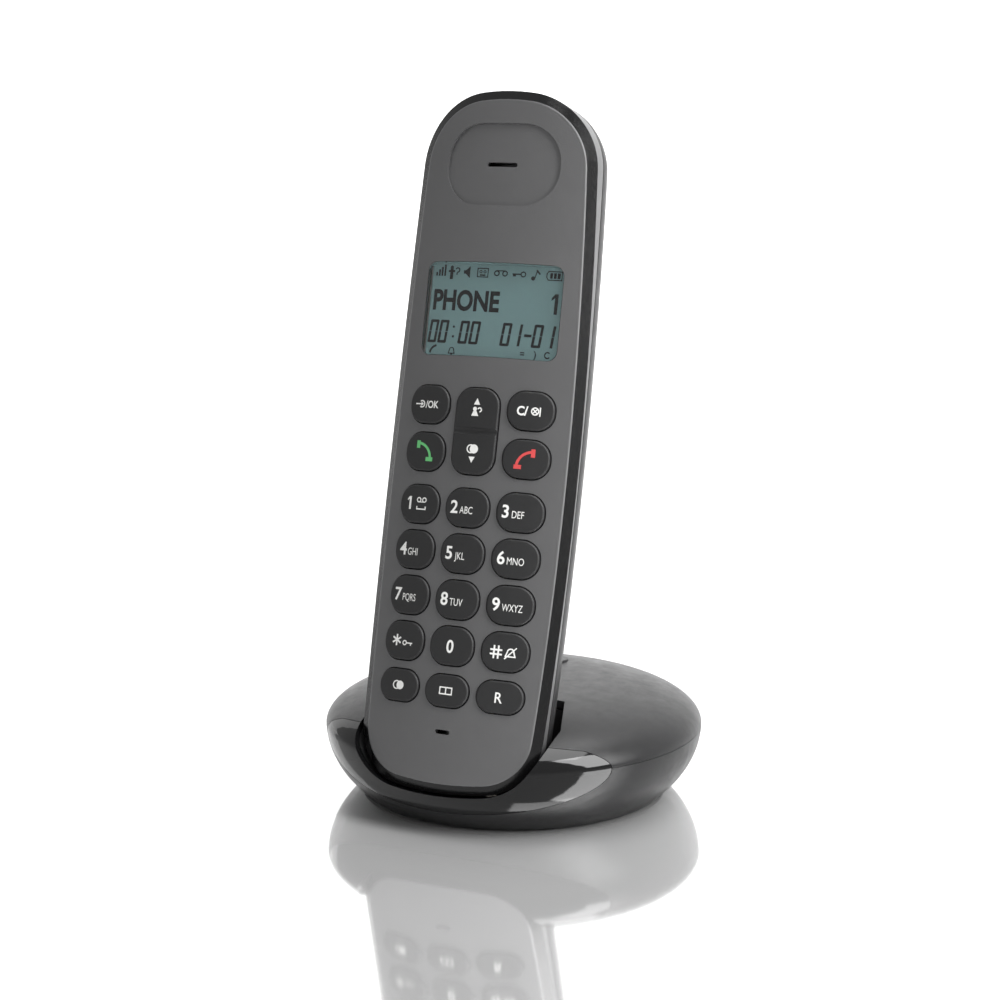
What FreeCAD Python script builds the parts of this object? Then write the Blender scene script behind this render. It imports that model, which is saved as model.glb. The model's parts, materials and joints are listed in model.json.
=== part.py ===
import FreeCAD, Part
import math
import os
import Sketcher
from FreeCAD import Placement, Rotation, Vector

# A cordless telephone standing in its charging base.
# Frame: millimetres, origin on the table under the centre of the round base, +Z up, keypad towards -Y.
# Handset pieces are drawn in the handset's own axes: X across, Y up along it from its lower end,
# Z out of its face, and then stood in the cradle by one placement.

doc = FreeCAD.newDocument("CordlessPhone")

# A value that starts with "=" follows other values of the sheet.
SIZES = {
    # handset outside
    "handset_length": 162.0,
    "handset_width": 48.2,
    "handset_depth": "=2 * cell_radius + board_depth + board_thick + bay_wall + side_wall + 2.1",
    "lean_back": 14.55,
    "side_sweep": 1400.0,
    "widest_at": "=handset_length / 2 - 10.6",
    "top_sweep": 60.0,
    "top_corner": 17.5,
    "bottom_sweep": 80.0,
    "bottom_corner": 13.5,
    "crown_radius": 64.0,
    "bow_radius": 1684.0,
    "bevel_width": 2.4,
    "bevel_depth": 1.0,
    "front_depth": 6.4,
    "back_draw_in": 8.2,
    "foot_draw_in": 8.0,
    "side_wall": 1.8,
    "face_wall": 1.6,
    "seam_gap": 0.3,
    # keys
    "key_wide": 10.9,
    "key_tall": 8.9,
    "key_column_gap": 1.9,
    "key_row_gap": 1.7,
    "key_pitch_across": "=key_wide + key_column_gap",
    "key_pitch_along": "=key_tall + key_row_gap",
    "key_row_two_up": 65.4,
    "key_low_tall": 7.4,
    "key_corner": 4.1,
    "key_proud": 0.7,
    "key_edge": 0.45,
    "key_gap": 0.25,
    "key_flange": 0.8,
    "key_flange_depth": 5.4,
    "rocker_depth": 5.0,
    "rocker_radius": 1.6,
    # display, earpiece and microphone
    "window_wide": 34.6,
    "window_tall": 21.9,
    "window_up": "=key_row_two_up + 2 * key_pitch_along + key_tall / 2 + window_tall / 2 + 9.3",
    "window_back": 4.1,
    "lcd_thick": 1.7,
    "ear_up": "=handset_length - 17.1",
    "ear_wide": 28.6,
    "ear_tall": 18.9,
    "ear_deep": 0.7,
    "ear_slot": 7.6,
    "mic_up": "=key_row_two_up - 4 * key_pitch_along - key_low_tall / 2 - 5.4",
    "mic_slot": 3.7,
    "slot_tall": 1.0,
    # inside the handset
    "board_thick": 1.0,
    "board_depth": 7.8,
    "cell_radius": 5.1,
    "cell_length": 44.0,
    "bay_wall": 1.1,
    "bay_up": 54.0,
    "door_wide": "=4 * cell_radius + 2 * bay_wall + 3.8",
    "door_tall": "=cell_length + 2 * bay_wall + 7.8",
    "fit_gap": 0.1,
    "sounder_up": "=window_up + 0.7",
    # base outside
    "rim_radius": 45.67,
    "rim_up": 16.33,
    "dome_rise": 10.12,
    "dome_side": 0.44,
    "dome_shoulder": 0.82,
    "dome_flat": 0.4,
    "bowl_foot_radius": "=rim_radius - 8.77",
    "bowl_foot_up": 0.6,
    "shell_wall": 1.8,
    "bezel_half_width": "=rim_radius - 8.87",
    "bezel_drop": 11.1,
    "bezel_climb": 7.6,
    "bezel_top": 13.2,
    # cradle
    "cradle_gap": 1.5,
    "cradle_floor_gap": 0.6,
    "cradle_wall": 1.4,
    "well_gap": 0.35,
    "cradle_low": 5.3,
    "cradle_draw_in": 5.6,
    "cradle_front": 3.4,
    "contact_apart": 9.0,
    "contact_depth": 11.0,
    "contact_root": 3.4,
    # base inside
    "socket_apart": 11.0,
    "socket_wide": 12.0,
    "socket_tall": 11.0,
    "socket_deep": 12.0,
    "socket_back": "=rim_radius - 11.17",
    "socket_lift": 1.3,
    "base_board_up": 3.7,
    "pager_radius": 4.6,
    "pager_back": "=rim_radius - 24.17",
    "foot_radius": 4.0,
    "foot_ring": "=bowl_foot_radius - 6.9",
    "foot_recess": 0.8,
    "boss_radius": 3.0,
}

sheet = doc.addObject("Spreadsheet::Sheet", "Sizes")
for row, (alias, value) in enumerate(SIZES.items(), start=1):
    sheet.set(f"A{row}", alias)
    sheet.set(f"B{row}", str(value))
    sheet.setAlias(f"B{row}", alias)
doc.recompute()

parts = []


def size(alias):
    """One driving dimension, read back from the sheet."""
    return float(sheet.get(alias))


def cell(alias):
    """The same dimension as a name for an expression."""
    return f"{sheet.Name}.{alias}"


def keep(obj, label, placement=Placement()):
    """Name a finished sub-part, put it in its place and list it for writing."""
    obj.Label = label
    obj.Placement = placement
    parts.append(obj)
    return obj


def keep_shape(label, shape, placement=Placement()):
    """A sub-part whose curved surfaces come from Part's own functions."""
    obj = doc.addObject("Part::Feature", label)
    obj.Shape = shape
    return keep(obj, label, placement)


# ---------------------------------------------------------------- where things stand

lean = math.radians(size("lean_back"))
along = Vector(0, math.sin(lean), math.cos(lean))
outward = Vector(0, -math.cos(lean), math.sin(lean))
row_two_place = Vector(0, -25.6, 73.2)
handset_foot = row_two_place - along * size("key_row_two_up")
HANDSET = Placement(handset_foot, Rotation(Vector(1, 0, 0), 90 - size("lean_back")))


def in_handset(x, y, z):
    """A placement at a point of the handset's own axes."""
    return HANDSET.multiply(Placement(Vector(x, y, z), Rotation()))


# ---------------------------------------------------------------- shapes used more than once

def box_between(low, high):
    """A block from its lowest to its highest corner."""
    low = Vector(*low)
    high = Vector(*high)
    span = high - low
    return Part.makeBox(span.x, span.y, span.z, low)


def rounded_block(wide, tall, corner, centre, low, high):
    """An upright block with rounded corners, centred on (x, y), from low to high in Z."""
    block = box_between((centre[0] - wide / 2, centre[1] - tall / 2, low),
                        (centre[0] + wide / 2, centre[1] + tall / 2, high))
    upright = [edge for edge in block.Edges if abs(edge.tangentAt(edge.FirstParameter).z) > 0.9]
    return block.makeFillet(min(corner, wide / 2 - 0.05, tall / 2 - 0.05), upright)


def arc_through(first, middle, last):
    return Part.Arc(Vector(*first), Vector(*middle), Vector(*last)).toShape()


def handset_block(inset, low, high, foot=None):
    """The handset's plan as an upright block, set in by inset, or by foot at its lower end."""
    foot = inset if foot is None else foot
    half = size("handset_width") / 2 - inset
    top = size("handset_length") - inset
    middle = size("widest_at")
    sweep = size("side_sweep") - inset

    def half_at(y):
        return half - sweep + math.sqrt(sweep ** 2 - (y - middle) ** 2)

    def end_at(x, radius):
        return radius - math.sqrt(radius ** 2 - x ** 2)

    wide_low = half_at(foot)
    wide_high = half_at(top)
    low_side = foot + end_at(wide_low, size("bottom_sweep") - foot)
    high_side = top - end_at(wide_high, size("top_sweep") - inset)
    wide_low = half_at(low_side)
    wide_high = half_at(high_side)
    edges = [
        arc_through((-wide_low, low_side, low), (0, foot, low), (wide_low, low_side, low)),
        arc_through((wide_low, low_side, low), (half, middle, low), (wide_high, high_side, low)),
        arc_through((wide_high, high_side, low), (0, top, low), (-wide_high, high_side, low)),
        arc_through((-wide_high, high_side, low), (-half, middle, low), (-wide_low, low_side, low)),
    ]
    block = Part.Face(Part.Wire(edges)).extrude(Vector(0, 0, high - low))
    for above, radius in ((True, size("top_corner")), (False, size("bottom_corner"))):
        upright = [edge for edge in block.Edges
                   if abs(edge.tangentAt(edge.FirstParameter).z) > 0.9
                   and (edge.CenterOfMass.y > middle) == above
                   and abs(abs(edge.CenterOfMass.x) - (wide_high if above else wide_low)) < 0.01]
        block = block.makeFillet(radius - inset, upright)
    return block


def under_crown(depth):
    """Everything behind the handset's face, or behind a face set depth behind it."""
    reach = 32.0
    back = -40.0
    radius = size("crown_radius") - depth
    middle = size("key_row_two_up")
    edge_z = -depth - radius + math.sqrt(radius ** 2 - reach ** 2)
    edges = [
        arc_through((-reach, middle, edge_z), (0, middle, -depth), (reach, middle, edge_z)),
        Part.makeLine(Vector(reach, middle, edge_z), Vector(reach, middle, back)),
        Part.makeLine(Vector(reach, middle, back), Vector(-reach, middle, back)),
        Part.makeLine(Vector(-reach, middle, back), Vector(-reach, middle, edge_z)),
    ]
    swing = 12.0
    axis_point = Vector(0, middle, size("bow_radius"))
    face = Part.Face(Part.Wire(edges))
    face.rotate(axis_point, Vector(1, 0, 0), -swing / 2)
    return face.revolve(axis_point, Vector(1, 0, 0), swing)


# How the rear cover draws in from the seam to its flat back: shares of the way back, of the
# draw-in at the sides and of the draw-in at the lower end, where the charging pads need a wall.
BACK_PROFILE = (
    (0.0, 0.0, 0.0),
    (0.1, 0.007, 0.0),
    (0.25, 0.093, 0.0),
    (0.48, 0.33, 0.025),
    (0.71, 0.56, 0.15),
    (0.88, 0.76, 0.45),
    (1.0, 1.0, 1.0),
)


def back_block(wall):
    """The rear half of the handset as a loft through its plan, or the space inside it."""
    seam = size("front_depth") + size("seam_gap")
    way = size("handset_depth") - wall - seam
    outlines = []
    for share, side, foot in BACK_PROFILE:
        low = -seam - share * way
        block = handset_block(size("back_draw_in") * side + wall, low, low + 1,
                              size("foot_draw_in") * foot + wall)
        lowest = min(block.Faces, key=lambda face: face.CenterOfMass.z)
        outlines.append(lowest.OuterWire)
    return Part.makeLoft(outlines, True, False)


# ---------------------------------------------------------------- keys

def key_table():
    """Every key: its name, its place across and along, and its height."""
    pitch = size("key_pitch_across")
    row = size("key_pitch_along")
    row_two = size("key_row_two_up")
    usual = size("key_tall")
    call_row = row_two + row + 1.65
    menu_row = row_two + 2 * row + 2.1
    low_row = row_two - 4 * row + 0.3
    table = [
        ("key_nav", 0.0, (call_row + menu_row) / 2 - 0.07, 2 * row - 1.2),
        ("key_ok", -pitch, menu_row, usual),
        ("key_clear", pitch, menu_row, usual),
        ("key_talk", -pitch, call_row, usual),
        ("key_end", pitch, call_row, usual),
    ]
    names = ("1", "2", "3", "4", "5", "6", "7", "8", "9", "star", "0", "hash")
    for place, name in enumerate(names):
        across = (place % 3 - 1) * pitch
        table.append((f"key_{name}", across, row_two - (place // 3) * row, usual))
    for place, name in enumerate(("redial", "book", "recall")):
        across = (place - 1) * pitch
        table.append((f"key_{name}", across, low_row, size("key_low_tall")))
    return table


def key_outline(tall, margin, centre, low, high):
    """A block with one key's outline, grown by margin on every side."""
    return rounded_block(size("key_wide") + 2 * margin, tall + 2 * margin, size("key_corner") + margin,
                         centre, low, high)


def make_keys():
    """Each key is a cap that follows the face, with a flange that keeps it behind the cover.

    The long key rocks on a round rib under its middle, and has a finger groove above it.
    """
    face = under_crown(-size("key_proud"))
    flange_top = -size("key_flange_depth")
    flange_low = flange_top - size("key_flange")
    for name, x, y, tall in key_table():
        cap = key_outline(tall, 0, (x, y), flange_low, 6.0).common(face)
        rim = [edge for edge in cap.Edges if edge.CenterOfMass.z > flange_top + 1.0
               and abs(edge.tangentAt(edge.FirstParameter).z) < 0.6]
        cap = cap.makeFillet(size("key_edge"), rim)
        if name == "key_nav":
            start = Vector(x - size("key_wide"), y, size("key_proud") + 0.45)
            cap = cap.cut(Part.makeCylinder(0.9, 2 * size("key_wide"), start, Vector(1, 0, 0)))
            start = Vector(x - size("key_wide") / 2, y, -size("rocker_depth"))
            rib = Part.makeCylinder(size("rocker_radius"), size("key_wide"), start, Vector(1, 0, 0))
            cap = cap.fuse(rib)
        flange = key_outline(tall, 0.6, (x, y), flange_low, flange_top)
        keep_shape(name, cap.fuse(flange).Solids[0], HANDSET)


# ---------------------------------------------------------------- handset shells

def make_front_cover():
    """The grey face: a thin crowned shell with a bevel round it and holes for keys and display."""
    high = 6.0
    depth = size("front_depth")
    solid = handset_block(0, -depth - 8, high).common(under_crown(0))
    face = max((face for face in solid.Faces if isinstance(face.Surface, Part.Toroid)),
               key=lambda face: face.Area)
    solid = solid.makeChamfer(size("bevel_depth"), size("bevel_width"), face.Edges)
    solid = solid.common(box_between((-60, -20, -depth), (60, 300, 20)))
    wall = size("side_wall")
    hollow = handset_block(wall, -depth - 1, high).common(under_crown(size("face_wall")))
    cover = solid.cut(hollow)
    holes = [key_outline(tall, size("key_gap"), (x, y), -depth - 1, high) for _, x, y, tall in key_table()]
    holes.append(rounded_block(size("window_wide"), size("window_tall"), 2.4,
                               (0, size("window_up")), -depth - 1, high))
    for slot, up in ((size("ear_slot"), size("ear_up")), (size("mic_slot"), size("mic_up"))):
        holes.append(rounded_block(slot, size("slot_tall"), size("slot_tall") / 2, (0, up), -depth - 1, high))
    cover = cover.cut(ear_dish()).cut(holes)
    keep_shape("handset_front_cover", cover, HANDSET)


def ear_dish():
    """The shallow hollow that the ear rests in, as the space above its floor."""
    tool = rounded_block(size("ear_wide"), size("ear_tall"), size("ear_tall") / 2 - 0.6,
                         (0, size("ear_up")), -3.0, 9.0)
    return tool.cut(under_crown(size("ear_deep")))


def make_rear_cover():
    """The dark back shell, with the battery opening, a sounder grille and slots for two contacts."""
    wall = size("side_wall")
    shell = back_block(0).cut(back_block(wall).fuse(
        handset_block(wall, -size("front_depth") - 2, -size("front_depth"))))
    lip_top = -size("front_depth") + 1.2
    lip = handset_block(wall + size("fit_gap"), -size("front_depth") - 2.0, lip_top)
    lip = lip.cut(handset_block(wall + 1.1, -size("front_depth") - 3.0, lip_top + 1))
    lip = lip.common(under_crown(size("face_wall") + size("fit_gap")))
    lip_root = handset_block(wall - 0.2, -size("front_depth") - 2.0, -size("front_depth") - size("seam_gap"))
    lip_root = lip_root.cut(handset_block(wall + 1.1, -size("front_depth") - 3.0, 0))
    shell = shell.fuse([lip, lip_root]).removeSplitter()
    gap = 2 * size("fit_gap")
    cuts = [rounded_block(size("door_wide") + gap, size("door_tall") + gap, 3.0 + size("fit_gap"),
                          (0, size("bay_up")), -size("handset_depth") - 1, -size("handset_depth") + 3)]
    for place in range(-2, 3):
        cuts.append(rounded_block(12 - 2.4 * abs(place), 1.2, 0.55, (0, size("sounder_up") + 2.6 * place),
                                  -size("handset_depth") - 1, -size("handset_depth") + 3))
    for side in (-1, 1):
        cuts.append(contact_pad(side, size("fit_gap") / 2))
    keep_shape("handset_rear_cover", shell.cut(cuts), HANDSET)


def contact_pad(side, margin):
    """One charging pad in the handset's lower end, or the slot for it when margin is given."""
    across = side * size("contact_apart")
    depth = -size("contact_depth")
    low = -1.0 if margin else foot_rise() - 0.1
    return box_between((across - 2 - margin, low, depth - 2.5 - margin),
                       (across + 2 + margin, foot_rise() + size("side_wall") + 0.8, depth + 2.5 + margin))


def make_battery_door():
    """A flat door that covers the two cells and comes away from the back."""
    body = doc.addObject("PartDesign::Body", "BatteryDoor")
    plane = [item for item in body.Origin.OriginFeatures if item.Role == "XY_Plane"][0]
    sketch = body.newObject("Sketcher::SketchObject", "BatteryDoorOutline")
    sketch.AttachmentSupport = [(plane, "")]
    sketch.MapMode = "FlatFace"
    add_rectangle(sketch, "door_wide", "door_tall")
    pad = body.newObject("PartDesign::Pad", "BatteryDoorPlate")
    pad.Profile = sketch
    pad.setExpression("Length", cell("side_wall"))
    doc.recompute()
    upright = [f"Edge{index}" for index, edge in enumerate(pad.Shape.Edges, start=1)
               if abs(edge.tangentAt(edge.FirstParameter).z) > 0.9]
    corners = body.newObject("PartDesign::Fillet", "BatteryDoorCorners")
    corners.Base = (pad, upright)
    corners.Radius = 3.0
    body.Tip = corners
    keep(body, "battery_door", in_handset(0, size("bay_up"), -size("handset_depth")))


def add_rectangle(sketch, wide, tall):
    """A rectangle centred on the sketch's origin, its sides bound to two cells."""
    half_wide = size(wide) / 2
    half_tall = size(tall) / 2
    corners = [Vector(-half_wide, -half_tall, 0), Vector(half_wide, -half_tall, 0),
               Vector(half_wide, half_tall, 0), Vector(-half_wide, half_tall, 0)]
    for index in range(4):
        sketch.addGeometry(Part.LineSegment(corners[index], corners[(index + 1) % 4]), False)
    for index in range(4):
        sketch.addConstraint(Sketcher.Constraint("Coincident", index, 2, (index + 1) % 4, 1))
    for index, kind in enumerate(("Horizontal", "Vertical", "Horizontal", "Vertical")):
        sketch.addConstraint(Sketcher.Constraint(kind, index))
    sketch.addConstraint(Sketcher.Constraint("Symmetric", 0, 1, 1, 2, -1, 1))
    wide_at = sketch.addConstraint(Sketcher.Constraint("DistanceX", 0, 1, 0, 2, 2 * half_wide))
    tall_at = sketch.addConstraint(Sketcher.Constraint("DistanceY", 1, 1, 1, 2, 2 * half_tall))
    sketch.setExpression(f"Constraints[{wide_at}]", cell(wide))
    sketch.setExpression(f"Constraints[{tall_at}]", cell(tall))


# ---------------------------------------------------------------- inside the handset

def bound_cylinder(name, radius, height, label, placement):
    """A cylinder whose radius and height are expressions on the sheet."""
    obj = doc.addObject("Part::Cylinder", name)
    obj.setExpression("Radius", radius)
    obj.setExpression("Height", height)
    return keep(obj, label, placement)


def bound_box(name, spans, label, placement):
    """A block whose three sides are expressions on the sheet."""
    obj = doc.addObject("Part::Box", name)
    for side, span in zip(("Length", "Width", "Height"), spans):
        obj.setExpression(side, span)
    return keep(obj, label, placement)


def make_display():
    """The clear window, and behind it the panel and the frame that holds it off the board."""
    gap = size("fit_gap")
    outline = rounded_block(size("window_wide") - 2 * gap, size("window_tall") - 2 * gap, 2.3,
                            (0, size("window_up")), -9, 6)
    behind = box_between((-60, 0, -20), (60, 300, -size("window_back")))
    window = outline.common(under_crown(0.05)).cut(behind)
    keep_shape("display_window", window, HANDSET)
    panel_top = -size("window_back") - 0.15
    wide = size("window_wide") - 1.6
    tall = size("window_tall") + 1.6
    bound_box("LcdPanel", (f"{cell('window_wide')} - 1.6", f"{cell('window_tall')} + 1.6",
                           cell("lcd_thick")), "lcd_panel",
              in_handset(-wide / 2, size("window_up") - tall / 2, panel_top - size("lcd_thick")))
    frame_low = -size("board_depth") + 0.05
    frame_high = panel_top - size("lcd_thick") - 0.05
    frame = rounded_block(wide + 2, tall + 2, 1.5, (0, size("window_up")), frame_low, frame_high)
    frame = frame.cut(rounded_block(wide - 5, tall - 5, 1.0, (0, size("window_up")), -12, 0))
    keep_shape("lcd_frame", frame, HANDSET)


def make_handset_board():
    """The circuit board follows the handset's plan, and the key domes lie on it as one sheet."""
    top = -size("board_depth")
    board = handset_block(size("side_wall") + 1.5, top - size("board_thick"), top)
    board = board.cut([Part.makeCylinder(1.0, 4, Vector(x, y, top - 2)) for x, y in handset_screw_places()])
    keep_shape("handset_board", board, HANDSET)
    low = min(y - tall / 2 for _, _, y, tall in key_table()) - 1.2
    high = max(y + tall / 2 for _, _, y, tall in key_table()) + 1.75
    wide = 2 * size("key_pitch_across") + size("key_wide") + 1.1
    domes = rounded_block(wide, high - low, 2.0, (0, (high + low) / 2), top + 0.05, top + 0.35)
    bumps = []
    for name, x, y, _ in key_table():
        rises = (-6, 6) if name == "key_nav" else (0,)
        bumps += [Part.makeCylinder(2.2, 0.25, Vector(x, y + rise, top + 0.35)) for rise in rises]
    keep_shape("key_dome_sheet", domes.fuse(bumps), HANDSET)


def make_sound_pieces():
    """The earpiece and microphone in front of the board, and the sounder behind it."""
    ear_low = -size("board_depth") + 0.05
    bound_cylinder("Earpiece", "7.5", f"{cell('board_depth')} - 4.4", "earpiece",
                   in_handset(0, size("ear_up"), ear_low))
    bound_cylinder("Microphone", "3", f"{cell('board_depth')} - 3.8", "microphone",
                   in_handset(0, size("mic_up") + 1.5, ear_low))
    sounder_low = -size("handset_depth") + size("side_wall") + 0.1
    bound_cylinder("Sounder", "8.5", "4.6", "sounder", in_handset(0, size("sounder_up"), sounder_low))
    bound_box("Antenna", ("20", "5", "2.4"), "handset_antenna",
              in_handset(-10, size("ear_up") + 2.1, -size("board_depth") - size("board_thick") - 2.45))


def make_battery():
    """Two cells side by side in an open tray, between an upper and a lower contact strip."""
    wall = size("bay_wall")
    up = size("bay_up")
    rear = -size("handset_depth") + size("side_wall")
    front = -size("board_depth") - size("board_thick") - 1.0
    cell_space = 0.4
    radius = size("cell_radius")
    tray_wide = 4 * radius + 2 * wall + 3 * cell_space
    tray_tall = size("cell_length") + 2 * wall + 3.2
    tray = box_between((-tray_wide / 2, up - tray_tall / 2, rear + 0.1),
                       (tray_wide / 2, up + tray_tall / 2, front))
    flange = box_between((-size("door_wide") / 2 - 0.05, up - size("door_tall") / 2 - 1.0, rear + 0.05),
                         (size("door_wide") / 2 + 0.05, up + size("door_tall") / 2 + 1.0, rear + 0.75))
    hollow = box_between((-tray_wide / 2 + wall, up - tray_tall / 2 + wall, rear - 1),
                         (tray_wide / 2 - wall, up + tray_tall / 2 - wall, front - wall))
    keep_shape("battery_tray", tray.fuse(flange).cut(hollow), HANDSET)
    depth = front - wall - cell_space - radius
    for side, name in ((-1, "left"), (1, "right")):
        across = side * (radius + cell_space / 2)
        barrel = Part.makeCylinder(radius, size("cell_length") - 1.0,
                                   Vector(across, up - size("cell_length") / 2, depth), Vector(0, 1, 0))
        nub = Part.makeCylinder(1.9, 1.0, Vector(across, up + size("cell_length") / 2 - 1.0, depth),
                                Vector(0, 1, 0))
        keep_shape(f"battery_cell_{name}", barrel.fuse(nub), HANDSET)
    plate_wide = tray_wide - 2 * wall - 0.6
    for name, low in (("lower", up - tray_tall / 2 + wall + 0.1), ("upper", up + tray_tall / 2 - wall - 0.5)):
        bound_box(f"BatteryContact_{name}", (f"{plate_wide}", "0.4", "7"), f"battery_contact_{name}",
                  in_handset(-plate_wide / 2, low, depth - 3.5))


def make_handset_fixings():
    """The two charging pads in the lower end, and the screws that hold the shells together."""
    for side, name in ((-1, "left"), (1, "right")):
        keep_shape(f"charge_pad_{name}", contact_pad(side, 0), HANDSET)
    board_back = -size("board_depth") - size("board_thick")
    shank_top = board_back + size("board_thick") + 2.5
    screws = []
    for x, y in handset_screw_places():
        head = Part.makeCylinder(2.0, 1.2, Vector(x, y, board_back - 1.25))
        shank = Part.makeCylinder(0.9, shank_top - board_back + 0.05, Vector(x, y, board_back - 0.05))
        screws.append(head.fuse(shank))
    keep_shape("handset_screws", Part.makeCompound(screws), HANDSET)


def handset_screw_places():
    """Two screws below the lowest keys and two between the display and the earpiece."""
    high = size("ear_up") - 12.9
    return ((-11.0, 9.0), (11.0, 9.0), (-13.0, high), (13.0, high))


# ---------------------------------------------------------------- base

def base_solid(inset):
    """The round base as one solid, or the space inside it when inset by the wall."""
    rim = size("rim_radius") - inset
    rise = size("dome_rise") - inset
    up = size("rim_up")
    foot_up = size("bowl_foot_up") + inset
    foot = size("bowl_foot_radius") - 0.6 * inset
    drop = up - foot_up
    bowl = Part.BezierCurve()
    bowl.setPoles([Vector(foot, 0, foot_up), Vector(rim - 0.35, 0, up - 0.56 * drop), Vector(rim, 0, up)])
    top = Part.BezierCurve()
    top.setPoles([Vector(rim, 0, up),
                  Vector(rim, 0, up + size("dome_side") * rise),
                  Vector(size("dome_shoulder") * rim, 0, up + rise),
                  Vector(size("dome_flat") * rim, 0, up + rise),
                  Vector(0, 0, up + rise)])
    edges = [
        Part.makeLine(Vector(0, 0, foot_up), Vector(foot, 0, foot_up)),
        bowl.toShape(),
        top.toShape(),
        Part.makeLine(Vector(0, 0, up + rise), Vector(0, 0, foot_up)),
    ]
    return Part.Face(Part.Wire(edges)).revolve(Vector(0, 0, 0), Vector(0, 0, 1), 360)


def notch_slice(half, floor, low, high):
    """The cradle's U in handset axes, from low to high along the face's normal."""
    top = 80.0
    sweep = size("bottom_sweep")
    side_y = floor + sweep - math.sqrt(sweep ** 2 - half ** 2)
    edges = [
        arc_through((-half, side_y, low), (0, floor, low), (half, side_y, low)),
        Part.makeLine(Vector(half, side_y, low), Vector(half, top, low)),
        Part.makeLine(Vector(half, top, low), Vector(-half, top, low)),
        Part.makeLine(Vector(-half, top, low), Vector(-half, side_y, low)),
    ]
    block = Part.Face(Part.Wire(edges)).extrude(Vector(0, 0, high - low))
    lower = [edge for edge in block.Edges
             if abs(edge.tangentAt(edge.FirstParameter).z) > 0.9 and edge.CenterOfMass.y < top / 2]
    corner = size("bottom_corner") + size("cradle_gap") - size("cradle_floor_gap") - floor
    return block.makeFillet(corner, lower)


def notch_block(extra, front, back):
    """The space round the handset's lower end, which draws in behind as the rear cover does."""
    floor = -size("cradle_floor_gap") - extra
    half = size("handset_width") / 2 - 1.4 + size("cradle_gap") + extra
    straight = -size("front_depth") - 4.6
    block = notch_slice(half, floor, straight, front)
    ends = [notch_slice(half, floor, straight, straight + 1),
            notch_slice(half - size("cradle_draw_in"), floor, -back, 1 - back)]
    outlines = [min(end.Faces, key=lambda face: face.CenterOfMass.z).OuterWire for end in ends]
    block = block.fuse(Part.makeLoft(outlines, True, True))
    block.Placement = HANDSET
    low = size("cradle_low") - extra
    return block.common(box_between((-90, -90, low), (90, 90, 200)))


def bezel_zone(grow):
    """The region of the base's skin that the gloss bezel takes, seen from the front."""
    up = size("rim_up")
    wide = size("bezel_half_width") + grow
    halves = []
    for height, sign in ((size("bezel_drop") + grow, -1), (size("bezel_climb") + grow, 1)):
        ellipse = Part.makeCylinder(1.0, 60.0, Vector(0, 0, 0), Vector(0, 0, 1))
        stretch = FreeCAD.Matrix()
        stretch.scale(wide, height, 1.0)
        ellipse = ellipse.transformGeometry(stretch)
        ellipse.rotate(Vector(0, 0, 0), Vector(1, 0, 0), 90)
        ellipse.translate(Vector(0, -8, up))
        low = up - 60 if sign < 0 else up
        halves.append(ellipse.common(box_between((-80, -90, low), (80, 0, low + 60))))
    zone = halves[0].fuse(halves[1]).removeSplitter()
    below = box_between((-80, -60, -60), (80, size("bezel_top") + grow, 60))
    below.Placement = HANDSET
    return zone.common(below)


def make_base_shells():
    """The satin dome and bowl, and the gloss bezel let into their front."""
    outer = base_solid(0)
    skin = outer.cut(base_solid(size("shell_wall")))
    notch = notch_block(0, 12, size("handset_depth") + 1.2)
    zone = bezel_zone(size("fit_gap"))
    gap = size("fit_gap")
    up = size("rim_up")
    above = box_between((-90, -90, up + gap / 2), (90, 90, 60))
    below = box_between((-90, -90, -5), (90, 90, up - gap / 2))
    button = Part.makeCylinder(size("pager_radius") + 0.2, 20, Vector(0, size("pager_back"), up))
    dome = skin.common(above).cut([notch, zone, button])
    bosses = screw_bosses(size("boss_radius"), base_floor() + 0.3, 40)
    bosses = [boss.common(outer).cut(skin) for boss in bosses]
    pilots = screw_bosses(1.15, -1, up - 1.0)
    dome = dome.fuse(bosses).removeSplitter().cut(pilots)
    keep_shape("base_upper_shell", dome)
    bezel = skin.common(bezel_zone(0)).cut(notch)
    keep_shape("base_front_bezel", bezel)
    bowl = skin.common(below).cut([notch, zone])
    cuts = [socket_port(side) for side in (-1, 1)]
    cuts += [foot_disc(place, size("foot_radius") + 0.05) for place in foot_places()]
    cuts += screw_bosses(1.4, -1, 10)
    cuts += screw_bosses(2.7, -1, size("bowl_foot_up") + 0.9)
    keep_shape("base_lower_shell", bowl.cut(cuts))


def base_floor():
    """Height of the inside of the base's floor."""
    return size("bowl_foot_up") + size("shell_wall")


def screw_places():
    across = size("rim_radius") - 16.67
    return ((-across, 8.0), (across, 8.0), (0.0, size("rim_radius") - 12.17))


def screw_bosses(radius, low, high):
    return [Part.makeCylinder(radius, high - low, Vector(x, y, low)) for x, y in screw_places()]


def foot_places():
    ring = size("foot_ring")
    return [(ring * math.sin(math.radians(turn)), -ring * math.cos(math.radians(turn)))
            for turn in (38, -38, 142, -142)]


def foot_disc(place, radius):
    high = size("bowl_foot_up") + size("foot_recess")
    return Part.makeCylinder(radius, high, Vector(place[0], place[1], 0))


def make_cradle():
    """The dark well that the handset stands in, clipped to the inside of the base."""
    wall = size("cradle_wall")
    back = size("handset_depth") + 1.2
    front = size("cradle_front")
    inside = base_solid(size("shell_wall") + size("well_gap"))
    tub = notch_block(wall, front, back + wall).common(inside)
    tub = tub.cut(notch_block(0, 12, back))
    slots = [contact_post(side, 0.15, 1.0) for side in (-1, 1)]
    tub = tub.cut(slots)
    keep_shape("cradle_well", max(tub.Solids, key=lambda solid: solid.Volume))


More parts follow.
